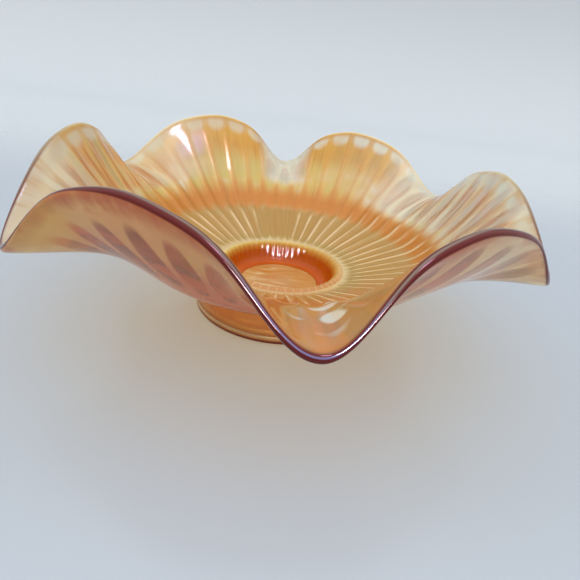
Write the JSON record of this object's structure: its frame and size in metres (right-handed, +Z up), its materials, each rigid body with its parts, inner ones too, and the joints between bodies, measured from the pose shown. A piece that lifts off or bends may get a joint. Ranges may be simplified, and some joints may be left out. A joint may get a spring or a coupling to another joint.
{
  "type": "carnival glass bowl",
  "caption": "Low ruffled bowl of iridescent marigold pressed glass, rayed inside, with a thick round well in the middle, standing on a plain collar foot.",
  "frame": {"origin": "middle of the collar foot, on the surface that the bowl stands on", "axes": "+Z up along the foot's axis; the lowest front valley of the rim points to -Y, turned a little to +X; azimuths run anticlockwise from +X seen from above"},
  "size_m": [0.2045, 0.2303, 0.0803],
  "materials": {
    "marigold_glass": "iridescent marigold lustre over clear pressed glass",
    "amber_glass": "clear, with a faint amber cast"
  },
  "bodies": {
    "root": {"collar_foot": "amber_glass", "well": "marigold_glass", "ruffled_bowl": "marigold_glass"}
  },
  "joints": []
}
